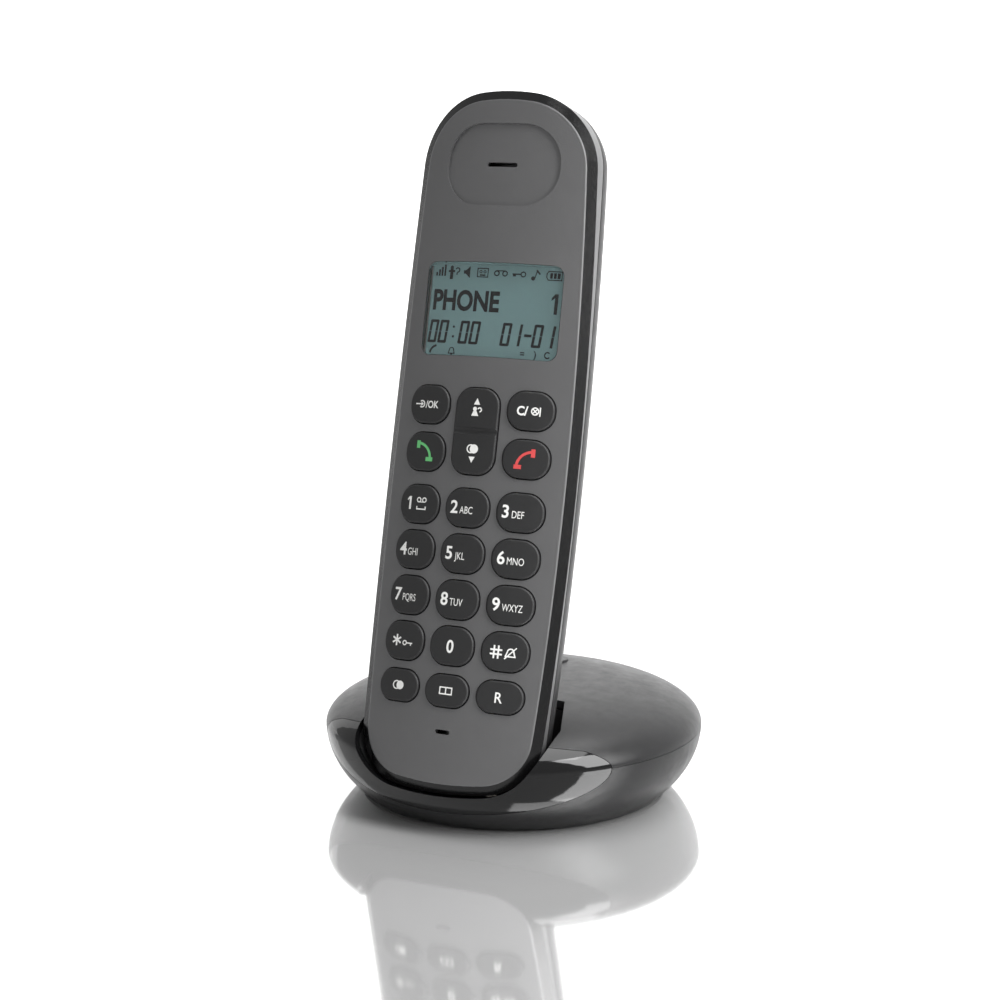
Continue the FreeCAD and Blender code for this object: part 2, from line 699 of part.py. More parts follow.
def contact_post(side, margin, top):
    """One charging contact's post, from under the well's floor up to top in handset axes."""
    across = side * size("contact_apart")
    depth = -size("contact_depth")
    post = box_between((across - 1.3 - margin, -size("contact_root"), depth - 1.8 - margin),
                       (across + 1.3 + margin, top, depth + 1.8 + margin))
    lengthwise = [edge for edge in post.Edges if abs(edge.tangentAt(edge.FirstParameter).y) > 0.9]
    post = post.makeFillet(0.8, lengthwise)
    post.Placement = HANDSET
    return post


def make_contacts():
    """Two sprung contacts that stand up through the well's floor under the handset's pads."""
    root = -size("contact_root")
    depth = -size("contact_depth")
    for side, name in ((-1, "left"), (1, "right")):
        across = side * size("contact_apart")
        flange = box_between((across - 2.2, root, depth - 2.6), (across + 2.2, root + 0.6, depth + 2.6))
        flange.Placement = HANDSET
        keep_shape(f"charge_contact_{name}", contact_post(side, 0, foot_rise() - 0.18).fuse(flange))


def foot_rise():
    """How far the handset's rounded lower end has risen where the contacts meet it."""
    return size("contact_apart") ** 2 / (2 * size("bottom_sweep"))


def socket_port(side):
    """The hole through the shell in front of one socket, wide enough for its plug."""
    across = side * size("socket_apart")
    low = size("base_board_up") + size("socket_lift")
    wide = size("socket_wide") - 2.0
    return box_between((across - wide / 2, 30, low + 1.0), (across + wide / 2, 60, low + 9.4))


def make_sockets():
    """Two modular sockets that face the back: one for the line and one for the supply."""
    low = size("base_board_up") + size("socket_lift")
    back = size("socket_back")
    for side, name, wide in ((-1, "line_socket", 6.8), (1, "power_socket", 5.2)):
        across = side * size("socket_apart")
        half = size("socket_wide") / 2
        block = box_between((across - half, back - size("socket_deep"), low),
                            (across + half, back, low + size("socket_tall")))
        mouth = box_between((across - wide / 2, back - 9.0, low + 2.2),
                            (across + wide / 2, back + 1, low + 7.4))
        latch = box_between((across - 1.6, back - 9.0, low + 7.4), (across + 1.6, back + 1, low + 8.8))
        keep_shape(name, block.cut([mouth, latch]))


def make_base_inside():
    """The board and what stands on it, the pager switch, and a steel plate for weight."""
    up = size("base_board_up")
    thick = 1.2
    disc = Part.makeCylinder(size("bowl_foot_radius") + 0.1, thick, Vector(0, 0, up))
    back = size("socket_back") + 1.0
    board = disc.common(box_between((-90, -7.5, 0), (90, back, 30))).cut(screw_bosses(3.3, -1, 30))
    keep_shape("base_board", board)
    plate = Part.makeCylinder(size("bowl_foot_radius") - 5.9, 1.0, Vector(0, 0, base_floor() + 0.05))
    plate = plate.common(box_between((-90, -5.5, 0), (90, back, 30))).cut(screw_bosses(3.3, -1, 30))
    feet = [foot_disc(place, size("foot_radius") + 0.4) for place in foot_places()]
    keep_shape("ballast_plate", plate.cut(feet))
    top = up + thick + 0.05
    bound_cylinder("Capacitor", "4.5", "11", "capacitor", Placement(Vector(-18, 4, top), Rotation()))
    bound_box("Inductor", ("12", "12", "9"), "inductor", Placement(Vector(12, -2, top), Rotation()))
    switch_top = 14.0
    bound_box("PagerSwitch", ("6", "6", f"{switch_top - top}"), "pager_switch",
              Placement(Vector(-3, size("pager_back") - 9.0, top), Rotation()))


def make_pager_button():
    """The round button at the back of the dome that makes the handset ring."""
    up = size("rim_up")
    cap = Part.makeCylinder(size("pager_radius"), 20, Vector(0, size("pager_back"), up + 1.0))
    cap = cap.common(base_solid(-0.5))
    arm = box_between((-2.5, size("pager_back") - 9.0, up + 1.0), (2.5, size("pager_back"), up + 2.2))
    flange = Part.makeCylinder(size("pager_radius") + 0.8, 1.2, Vector(0, size("pager_back"), up + 1.0))
    keep_shape("pager_button", cap.fuse([arm, flange]).Solids[0])


def make_feet_and_screws():
    """Four rubber feet let into the floor, and three screws up into the dome's bosses."""
    names = ("front_right", "front_left", "rear_right", "rear_left")
    for place, name in zip(foot_places(), names):
        foot = doc.addObject("Part::Cylinder", f"Foot_{name}")
        foot.setExpression("Radius", cell("foot_radius"))
        foot.setExpression("Height", f"{cell('bowl_foot_up')} + {cell('foot_recess')} - 0.05")
        keep(foot, f"base_foot_{name}", Placement(Vector(place[0], place[1], 0), Rotation()))
    heads = screw_bosses(2.5, size("bowl_foot_up") - 0.2, size("bowl_foot_up") + 0.85)
    shanks = screw_bosses(1.1, size("bowl_foot_up") + 0.85, size("rim_up") - 3.0)
    screws = [head.fuse(shank) for head, shank in zip(heads, shanks)]
    keep_shape("base_screws", Part.makeCompound(screws))


make_front_cover()
make_rear_cover()
make_battery_door()
make_display()
make_keys()
make_handset_board()
make_sound_pieces()
make_battery()
make_handset_fixings()
make_base_shells()
make_cradle()
make_contacts()
make_sockets()
make_base_inside()
make_pager_button()
make_feet_and_screws()

doc.recompute()
for obj in doc.Objects:
    if "Invalid" in obj.State or "Error" in obj.State:
        raise RuntimeError(f"{obj.Label} did not build")
for obj in parts:
    if obj.Shape.isNull() or not obj.Shape.isValid():
        raise RuntimeError(f"{obj.Label} has no valid shape")

os.makedirs("parts", exist_ok=True)
for obj in parts:
    obj.Shape.exportStep(os.path.join("parts", f"{obj.Label}.step"))
print(len(parts), "sub-parts written")
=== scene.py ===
import json
import math

import bmesh
import bpy
from mathutils import Matrix, Vector
from mathutils.bvhtree import BVHTree
from mathutils.geometry import tessellate_polygon


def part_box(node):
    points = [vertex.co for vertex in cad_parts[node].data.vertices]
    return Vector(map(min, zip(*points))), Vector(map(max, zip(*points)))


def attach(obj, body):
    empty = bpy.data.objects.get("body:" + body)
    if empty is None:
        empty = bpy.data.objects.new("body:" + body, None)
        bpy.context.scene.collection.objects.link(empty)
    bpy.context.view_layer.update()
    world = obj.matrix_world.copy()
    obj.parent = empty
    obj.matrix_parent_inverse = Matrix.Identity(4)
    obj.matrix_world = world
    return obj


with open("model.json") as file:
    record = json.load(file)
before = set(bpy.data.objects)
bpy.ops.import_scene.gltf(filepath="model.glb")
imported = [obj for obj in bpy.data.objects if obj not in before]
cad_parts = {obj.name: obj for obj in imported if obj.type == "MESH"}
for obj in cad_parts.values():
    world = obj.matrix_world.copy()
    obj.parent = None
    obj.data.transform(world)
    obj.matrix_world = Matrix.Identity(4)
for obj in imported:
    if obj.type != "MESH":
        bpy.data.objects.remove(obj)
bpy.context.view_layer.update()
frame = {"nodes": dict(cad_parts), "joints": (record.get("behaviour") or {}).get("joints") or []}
MM = 0.001

# ---------------------------------------------------------------- camera, light and table
# A long lens a little above the handset's middle, turned to the telephone's right. Broad soft lamps
# light it from above and from its right, over a white table with a slight polish.

scene = bpy.context.scene
scene.view_settings.view_transform = "Standard"

EYE = (0.220466, -0.480791, 0.172858)
SIGHT = Vector((-0.41493, 0.88983, -0.18982))

camera_data = bpy.data.cameras.new("camera")
camera_data.lens = 80.9
camera_data.sensor_width = 36.0
camera_data.clip_start = 0.01
camera = bpy.data.objects.new("camera", camera_data)
camera.location = EYE
camera.rotation_euler = SIGHT.to_track_quat("-Z", "Y").to_euler()
scene.collection.objects.link(camera)
scene.camera = camera

world = bpy.data.worlds.new("studio")
world.use_nodes = True
world.node_tree.nodes["Background"].inputs["Color"].default_value = (1.0, 1.0, 1.0, 1.0)
world.node_tree.nodes["Background"].inputs["Strength"].default_value = 0.42
scene.world = world


def softbox(name, place, aim, wide, tall, watts):
    """A rectangular area lamp at place, facing aim."""
    data = bpy.data.lights.new(name, "AREA")
    data.shape = "RECTANGLE"
    data.size = wide
    data.size_y = tall
    data.energy = watts
    lamp = bpy.data.objects.new(name, data)
    lamp.location = place
    lamp.rotation_euler = (Vector(aim) - Vector(place)).to_track_quat("-Z", "Y").to_euler()
    scene.collection.objects.link(lamp)


softbox("lamp_right", (0.75, -0.15, 0.6), (0, 0, 0.1), 0.4, 0.9, 12.0)
softbox("lamp_top", (0.15, 0.1, 0.95), (0, 0, 0.05), 0.9, 0.5, 7.0)


def new_material(name):
    """An empty node material with a Principled shader, given back as (material, nodes, links, shader)."""
    material = bpy.data.materials.new(name)
    material.use_nodes = True
    tree = material.node_tree
    return material, tree.nodes, tree.links, tree.nodes["Principled BSDF"]


def smooth_sheet(name, profile, material):
    """A wide sheet along X whose section is the given line of (y, z) points."""
    sheet = bmesh.new()
    rows = [[sheet.verts.new((x, y, z)) for x in (-4.0, 4.0)] for y, z in profile]
    for first, second in zip(rows, rows[1:]):
        sheet.faces.new((first[0], first[1], second[1], second[0])).smooth = True
    mesh = bpy.data.meshes.new(name)
    sheet.to_mesh(mesh)
    sheet.free()
    mesh.materials.append(material)
    piece = bpy.data.objects.new(name, mesh)
    scene.collection.objects.link(piece)


table_white, nodes, links, shader = new_material("table_white")
clouds = nodes.new("ShaderNodeTexNoise")
clouds.inputs["Scale"].default_value = 3.0
ramp = nodes.new("ShaderNodeMapRange")
ramp.inputs["To Min"].default_value = 0.05
ramp.inputs["To Max"].default_value = 0.09
links.new(clouds.outputs["Fac"], ramp.inputs["Value"])
links.new(ramp.outputs["Result"], shader.inputs["Roughness"])
shader.inputs["Base Color"].default_value = (0.97, 0.97, 0.97, 1.0)
shader.inputs["Metallic"].default_value = 0.72
backdrop_white, _, _, shader = new_material("backdrop_white")
shader.inputs["Base Color"].default_value = (0.9, 0.9, 0.9, 1.0)
shader.inputs["Emission Color"].default_value = (1.0, 1.0, 1.0, 1.0)
shader.inputs["Emission Strength"].default_value = 0.75

floor_end = 0.8
curve_radius = 0.8
curve_steps = 16
sweep = [(floor_end, 0.0)]
for step in range(1, curve_steps + 1):
    turn = math.pi / 2 * step / curve_steps
    sweep.append((floor_end + curve_radius * math.sin(turn), curve_radius * (1 - math.cos(turn))))
sweep.append((floor_end + curve_radius, 3.0))
smooth_sheet("table", [(-2.5, 0.0), (floor_end, 0.0)], table_white)
smooth_sheet("backdrop", sweep, backdrop_white)

# ---------------------------------------------------------------- base shells
# The dome and the bowl are injection-moulded black plastic with a fine satin texture from the mould.
# They meet at the rim in a hairline seam.


def fine_grain():
    """A node group: mould texture as a normal, with a slow change of tone and a mask of light scuffs."""
    group = bpy.data.node_groups.new("fine_grain", "ShaderNodeTree")
    for name, kind, value in (("Scale", "NodeSocketFloat", 9000.0), ("Depth", "NodeSocketFloat", 0.2)):
        group.interface.new_socket(name, in_out="INPUT", socket_type=kind).default_value = value
    for name, kind in (("Normal", "NodeSocketVector"), ("Tone", "NodeSocketFloat"),
                       ("Scuffs", "NodeSocketFloat")):
        group.interface.new_socket(name, in_out="OUTPUT", socket_type=kind)
    inputs = group.nodes.new("NodeGroupInput")
    outputs = group.nodes.new("NodeGroupOutput")
    place = group.nodes.new("ShaderNodeTexCoord")
    grain = group.nodes.new("ShaderNodeTexNoise")
    grain.inputs["Detail"].default_value = 2.0
    slow = group.nodes.new("ShaderNodeTexNoise")
    slow.inputs["Scale"].default_value = 45.0
    slow.inputs["Detail"].default_value = 4.0
    scuffs = group.nodes.new("ShaderNodeTexNoise")
    scuffs.inputs["Scale"].default_value = 260.0
    scuffs.inputs["Detail"].default_value = 6.0
    scuffs.inputs["Roughness"].default_value = 0.7
    bump = group.nodes.new("ShaderNodeBump")
    bump.inputs["Distance"].default_value = 0.00004
    wire = group.links.new
    for texture in (grain, slow, scuffs):
        wire(place.outputs["Object"], texture.inputs["Vector"])
    wire(inputs.outputs["Scale"], grain.inputs["Scale"])
    wire(inputs.outputs["Depth"], bump.inputs["Strength"])
    wire(grain.outputs["Fac"], bump.inputs["Height"])
    wire(bump.outputs["Normal"], outputs.inputs["Normal"])
    wire(slow.outputs["Fac"], outputs.inputs["Tone"])
    wire(scuffs.outputs["Fac"], outputs.inputs["Scuffs"])
    return group


GRAIN = fine_grain()


def moulded_plastic(name, dark, light, smooth, rough, scale, depth):
    """Plastic with a mould texture, its colour from dark to light and its roughness from smooth to rough."""
    material, nodes, links, shader = new_material(name)
    grain = nodes.new("ShaderNodeGroup")
    grain.node_tree = GRAIN
    grain.inputs["Scale"].default_value = scale
    grain.inputs["Depth"].default_value = depth
    tone = nodes.new("ShaderNodeMix")
    tone.data_type = "RGBA"
    tone.inputs["A"].default_value = (*dark, 1.0)
    tone.inputs["B"].default_value = (*light, 1.0)
    sheen = nodes.new("ShaderNodeMapRange")
    sheen.inputs["From Min"].default_value = 0.3
    sheen.inputs["From Max"].default_value = 0.7
    sheen.inputs["To Min"].default_value = smooth
    sheen.inputs["To Max"].default_value = rough
    links.new(grain.outputs["Tone"], tone.inputs["Factor"])
    links.new(tone.outputs["Result"], shader.inputs["Base Color"])
    links.new(grain.outputs["Scuffs"], sheen.inputs["Value"])
    links.new(sheen.outputs["Result"], shader.inputs["Roughness"])
    links.new(grain.outputs["Normal"], shader.inputs["Normal"])
    return material, nodes, links, shader


def finish_nodes(material, *names):
    """Give CAD nodes that material."""
    for name in names:
        mesh = frame["nodes"][name].data
        mesh.materials.clear()
        mesh.materials.append(material)


satin_black, _, _, shader = moulded_plastic("satin_black", (0.008, 0.008, 0.0085), (0.012, 0.012, 0.0125),
                                            0.3, 0.42, 7000, 0.3)
shader.inputs["Specular IOR Level"].default_value = 0.35
finish_nodes(satin_black, "base_upper_shell", "base_lower_shell")

# ---------------------------------------------------------------- front bezel
# A separate crescent of piano-black plastic, polished in the mould and clipped round the notch.

piano_black, _, _, shader = moulded_plastic("piano_black", (0.004, 0.004, 0.0042), (0.006, 0.006, 0.0062),
                                            0.04, 0.08, 900, 0.04)
shader.inputs["Specular IOR Level"].default_value = 0.4
finish_nodes(piano_black, "base_front_bezel")

# ---------------------------------------------------------------- cradle, contacts, feet and screws
# The well is plain black moulding. Its contacts are nickel-plated, the feet are soft rubber.

well_black, *_ = moulded_plastic("well_black",
                                 (0.012, 0.012, 0.0125), (0.018, 0.018, 0.0185), 0.42, 0.55, 6000, 0.4)
finish_nodes(well_black, "cradle_well", "line_socket", "power_socket", "pager_switch", "battery_tray")
button_black, *_ = moulded_plastic("button_black",
                                   (0.03, 0.03, 0.031), (0.04, 0.04, 0.041), 0.4, 0.5, 7000, 0.3)
finish_nodes(button_black, "pager_button")
foot_rubber, *_ = moulded_plastic("foot_rubber",
                                  (0.015, 0.015, 0.015), (0.03, 0.03, 0.03), 0.7, 0.85, 4000, 0.6)
finish_nodes(foot_rubber, *[name for name in frame["nodes"] if name.startswith("base_foot")])


def bare_metal(name, dark, light, smooth, rough):
    """The same finish as a moulded one, in metal with a very fine grain."""
    material, nodes, links, shader = moulded_plastic(name, dark, light, smooth, rough, 3000, 0.15)
    shader.inputs["Metallic"].default_value = 1.0
    return material


nickel = bare_metal("nickel", (0.62, 0.59, 0.53), (0.72, 0.69, 0.63), 0.18, 0.32)
finish_nodes(nickel, "charge_contact_left", "charge_contact_right", "charge_pad_left", "charge_pad_right",
             "battery_contact_lower", "battery_contact_upper")
zinc = bare_metal("zinc", (0.45, 0.45, 0.46), (0.6, 0.6, 0.6), 0.25, 0.4)
finish_nodes(zinc, "base_screws", "handset_screws", "ballast_plate", "earpiece", "microphone", "sounder")

# ---------------------------------------------------------------- circuit boards and parts on them
# Two green boards, the keys' dome film, the display's white frame, the cells and the larger parts in
# coloured sleeves, and the antenna in bare copper.

solder_mask, _, _, shader = moulded_plastic("solder_mask",
                                            (0.01, 0.09, 0.03), (0.015, 0.13, 0.045), 0.2, 0.3, 2500, 0.2)
finish_nodes(solder_mask, "handset_board", "base_board")
dome_film, *_ = moulded_plastic("dome_film", (0.5, 0.45, 0.3), (0.6, 0.55, 0.38), 0.3, 0.45, 2500, 0.1)
finish_nodes(dome_film, "key_dome_sheet")
frame_white, *_ = moulded_plastic("frame_white", (0.7, 0.7, 0.67), (0.78, 0.78, 0.75), 0.4, 0.5, 4000, 0.2)
finish_nodes(frame_white, "lcd_frame")
cell_sleeve, *_ = moulded_plastic("cell_sleeve", (0.03, 0.2, 0.08), (0.04, 0.26, 0.1), 0.2, 0.3, 1200, 0.1)
finish_nodes(cell_sleeve, "battery_cell_left", "battery_cell_right")
sleeved_part, *_ = moulded_plastic("sleeved_part",
                                   (0.02, 0.02, 0.05), (0.03, 0.03, 0.07), 0.25, 0.35, 2000, 0.1)
finish_nodes(sleeved_part, "capacitor", "inductor")
copper = bare_metal("copper", (0.7, 0.36, 0.2), (0.8, 0.45, 0.28), 0.25, 0.4)
finish_nodes(copper, "handset_antenna")

# ---------------------------------------------------------------- handset shells
# The back shell and battery door are the same satin black as the base. The front is sprayed metallic
# grey on its face and left polished black on the bevel that runs round it.

finish_nodes(satin_black, "handset_rear_cover", "battery_door")

lift = [joint for joint in frame["joints"] if joint["name"] == "handset_lift"][0]
ALONG = Vector(lift["axis"]).normalized()
OUTWARD = Vector((1, 0, 0)).cross(ALONG)
ROW_TWO = Vector((0, -25.6, 73.2)) * MM
CROWN_RADIUS = 64.0
BOW_RADIUS = 1684.0
HANDSET = Matrix.Translation(ROW_TWO) @ Matrix((Vector((1, 0, 0)), ALONG, OUTWARD)).transposed().to_4x4()

grey_lacquer, nodes, links, shader = moulded_plastic("grey_lacquer", (0.15, 0.15, 0.152), (0.17, 0.17, 0.172),
                                                     0.3, 0.4, 5200, 0.6)
shader.inputs["Metallic"].default_value = 0.6
BEVEL_DROP = 0.12
BEVEL_STEEPEST = 0.3
BEVEL_FLATTEST = 0.955


def math_node(operation, first, second=0.0):
    """A Math node of this material, given its sockets or plain numbers, and its output."""
    node = nodes.new("ShaderNodeMath")
    node.operation = operation
    for socket, value in zip(node.inputs, (first, second)):
        if isinstance(value, bpy.types.NodeSocket):
            links.new(value, socket)
        else:
            socket.default_value = value
    return node.outputs["Value"]


def component(vector, direction):
    """How far a vector socket reaches along a fixed direction."""
    node = nodes.new("ShaderNodeVectorMath")
    node.operation = "DOT_PRODUCT"
    node.inputs[1].default_value = direction
    links.new(vector, node.inputs[0])
    return node.outputs["Value"]


place = nodes.new("ShaderNodeTexCoord")
from_row_two = nodes.new("ShaderNodeVectorMath")
from_row_two.operation = "SUBTRACT"
from_row_two.inputs[1].default_value = ROW_TWO
links.new(place.outputs["Object"], from_row_two.inputs[0])
local = [math_node("MULTIPLY", component(from_row_two.outputs["Vector"], direction), 1000.0)
         for direction in ((1, 0, 0), ALONG, OUTWARD)]
across_square = math_node("MULTIPLY", local[0], local[0])
up_square = math_node("MULTIPLY", local[1], local[1])
crown = math_node("SQRT", math_node("SUBTRACT", CROWN_RADIUS ** 2, across_square))
bow = math_node("DIVIDE", up_square, 2 * BOW_RADIUS)
face_height = math_node("ADD", math_node("SUBTRACT", crown, CROWN_RADIUS), bow)
below_face = math_node("GREATER_THAN", math_node("SUBTRACT", face_height, local[2]), BEVEL_DROP)
facing = component(place.outputs["Normal"], OUTWARD)
sloped = math_node("MULTIPLY", math_node("GREATER_THAN", facing, BEVEL_STEEPEST),
                   math_node("LESS_THAN", facing, BEVEL_FLATTEST))
bevel = math_node("MULTIPLY", below_face, sloped)


def masked(socket, value):
    """Put value on the shader's socket where the bevel is, and keep what feeds it elsewhere."""
    mix = nodes.new("ShaderNodeMix")
    mix.data_type = "RGBA"
    source = socket.links[0].from_socket if socket.links else None
    if source:
        links.new(source, mix.inputs["A"])
    else:
        mix.inputs["A"].default_value = (socket.default_value,) * 3 + (1.0,)
    mix.inputs["B"].default_value = value
    links.new(bevel, mix.inputs["Factor"])
    links.new(mix.outputs["Result"], socket)


masked(shader.inputs["Base Color"], (0.005, 0.005, 0.0052, 1.0))
masked(shader.inputs["Roughness"], (0.1, 0.1, 0.1, 1.0))
masked(shader.inputs["Metallic"], (0.0, 0.0, 0.0, 1.0))
finish_nodes(grey_lacquer, "handset_front_cover")

# ---------------------------------------------------------------- display
# A flat grey-green liquid crystal behind a clear acrylic window. Its dark segments and small signs
# are printed electrodes, so they are thin shapes that lie just in front of the panel.

clear_acrylic, nodes, links, shader = new_material("clear_acrylic")
smears = nodes.new("ShaderNodeTexNoise")
smears.inputs["Scale"].default_value = 120.0
polish = nodes.new("ShaderNodeMapRange")
polish.inputs["To Min"].default_value = 0.0
polish.inputs["To Max"].default_value = 0.03
links.new(smears.outputs["Fac"], polish.inputs["Value"])
links.new(polish.outputs["Result"], shader.inputs["Roughness"])
shader.inputs["Transmission Weight"].default_value = 1.0
shader.inputs["IOR"].default_value = 1.49
finish_nodes(clear_acrylic, "display_window")

lcd_green, _, _, shader = moulded_plastic("lcd_green",
                                          (0.36, 0.6, 0.61), (0.4, 0.65, 0.66), 0.5, 0.6, 2500, 0.05)
shader.inputs["Specular IOR Level"].default_value = 0.1
finish_nodes(lcd_green, "lcd_panel")


def bar(left, low, right, high):
    """A flat upright rectangle."""
    return [[(left, low), (right, low), (right, high), (left, high)]]


def disc(x, y, radius, sides=24):
    """A flat round with that many sides."""
    turns = [2 * math.pi * side / sides for side in range(sides)]
    return [[(x + radius * math.cos(turn), y + radius * math.sin(turn)) for turn in turns]]


def ring(x, y, radius, width, start=0.0, end=360.0, sides=28):
    """A flat band of that width round a centre, from one angle to another."""
    faces = []
    for side in range(sides):
        low, high = (math.radians(start + (end - start) * step / sides) for step in (side, side + 1))
        corners = ((radius - width / 2, low), (radius + width / 2, low),
                   (radius + width / 2, high), (radius - width / 2, high))
        faces.append([(x + reach * math.cos(turn), y + reach * math.sin(turn)) for reach, turn in corners])
    return faces


def line(points, width):
    """A flat band of that width along a line of points, with square ends."""
    faces = []
    for (x, y), (next_x, next_y) in zip(points, points[1:]):
        along = Vector((next_x - x, next_y - y)).normalized() * width / 2
        side = Vector((-along.y, along.x))
        start = Vector((x, y)) - along
        end = Vector((next_x, next_y)) + along
        faces.append([tuple(start - side), tuple(end - side), tuple(end + side), tuple(start + side)])
    return faces


def moved(faces, x=0.0, y=0.0, scale=1.0, slant=0.0, turn=0.0):
    """The same faces, slanted, turned, scaled and moved."""
    cosine, sine = math.cos(math.radians(turn)), math.sin(math.radians(turn))
    result = []
    for face in faces:
        leaned = [(across + slant * up, up) for across, up in face]
        result.append([(x + scale * (across * cosine - up * sine), y + scale * (across * sine + up * cosine))
                       for across, up in leaned])
    return result


def word(text, tall, heavy=0.0, narrow=1.0):
    """A word as flat faces from the origin, its capitals that tall and its strokes made heavier."""
    curve = bpy.data.curves.new("word", "FONT")
    curve.body = text
    curve.offset = heavy
    curve.resolution_u = 4
    holder = bpy.data.objects.new("word", curve)
    mesh = bpy.data.meshes.new_from_object(holder)
    capital = 0.729
    scale = tall / capital
    left = min(vertex.co.x for vertex in mesh.vertices)
    points = [((vertex.co.x - left) * scale * narrow, vertex.co.y * scale) for vertex in mesh.vertices]
    faces = [[points[index] for index in polygon.vertices] for polygon in mesh.polygons]
    bpy.data.objects.remove(holder)
    bpy.data.curves.remove(curve)
    bpy.data.meshes.remove(mesh)
    return faces


def artwork(name, faces, height, material, body):
    """A flat design on the handset: every corner goes to its place across and along, at height(x, y)."""
    bm = bmesh.new()
    for face in faces:
        corners = [bm.verts.new(HANDSET @ (Vector((x, y, height(x, y))) * MM)) for x, y in face]
        if len(corners) > 4:
            for triangle in tessellate_polygon([[Vector((x, y, 0)) for x, y in face]]):
                bm.faces.new([corners[index] for index in triangle])
        else:
            bm.faces.new(corners)
    bmesh.ops.remove_doubles(bm, verts=bm.verts, dist=1e-7)
    bm.normal_update()
    for face in bm.faces:
        if face.normal.dot(OUTWARD) < 0:
            face.normal_flip()
    mesh = bpy.data.meshes.new(name)
    bm.to_mesh(mesh)
    bm.free()
    mesh.materials.append(material)
    piece = bpy.data.objects.new(name, mesh)
    scene.collection.objects.link(piece)
    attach(piece, body)


def local_box(name):
    """A node's lowest and highest corner in the handset's own axes, in millimetres from key 2."""
    to_local = HANDSET.inverted()
    places = [to_local @ vertex.co / MM for vertex in frame["nodes"][name].data.vertices]
    low = Vector([min(place[axis] for place in places) for axis in range(3)])
    high = Vector([max(place[axis] for place in places) for axis in range(3)])
    return low, high


_, panel_high = local_box("lcd_panel")
window_low, window_high = local_box("display_window")
PRINT_LIFT = 0.03
GLASS_LEFT = window_low.x
GLASS_TOP = window_high.y
GLASS_WIDE = window_high.x - window_low.x
GLASS_TALL = window_high.y - window_low.y


def on_glass(across, down):
    """A place on the display, from shares of its width from the left and of its height from the top."""
    return GLASS_LEFT + across * GLASS_WIDE, GLASS_TOP - down * GLASS_TALL


def segment_digit(figure):
    """One seven-segment figure, 2.0 wide and 5.0 tall, from its lit segments."""
    lit = {"0": "abcdef", "1": "bc", "-": "g"}[figure]
    thick = 0.62
    gap = 0.22
    upper, lower = 2.5 + gap * 1.6, 2.5 - gap * 1.6
    places = {"a": [(0.35, 4.8), (1.65, 4.8)], "b": [(1.8, 4.65), (1.8, upper)],
              "c": [(1.8, lower), (1.8, 0.35)], "d": [(0.35, 0.2), (1.65, 0.2)],
              "e": [(0.2, lower), (0.2, 0.35)], "f": [(0.2, 4.65), (0.2, upper)],
              "g": [(0.45, 2.5), (1.55, 2.5)]}
    return [face for name in lit for face in line(places[name], thick)]


def figure_one(tall, thick):
    """A figure one with a flag, its stem's middle at x 0."""
    edge = -thick * 1.5
    flag = [(-thick / 2, tall), (edge, tall * 0.8), (edge, tall * 0.66), (-thick / 2, tall * 0.8)]
    return bar(-thick / 2, 0, thick / 2, tall) + [flag]


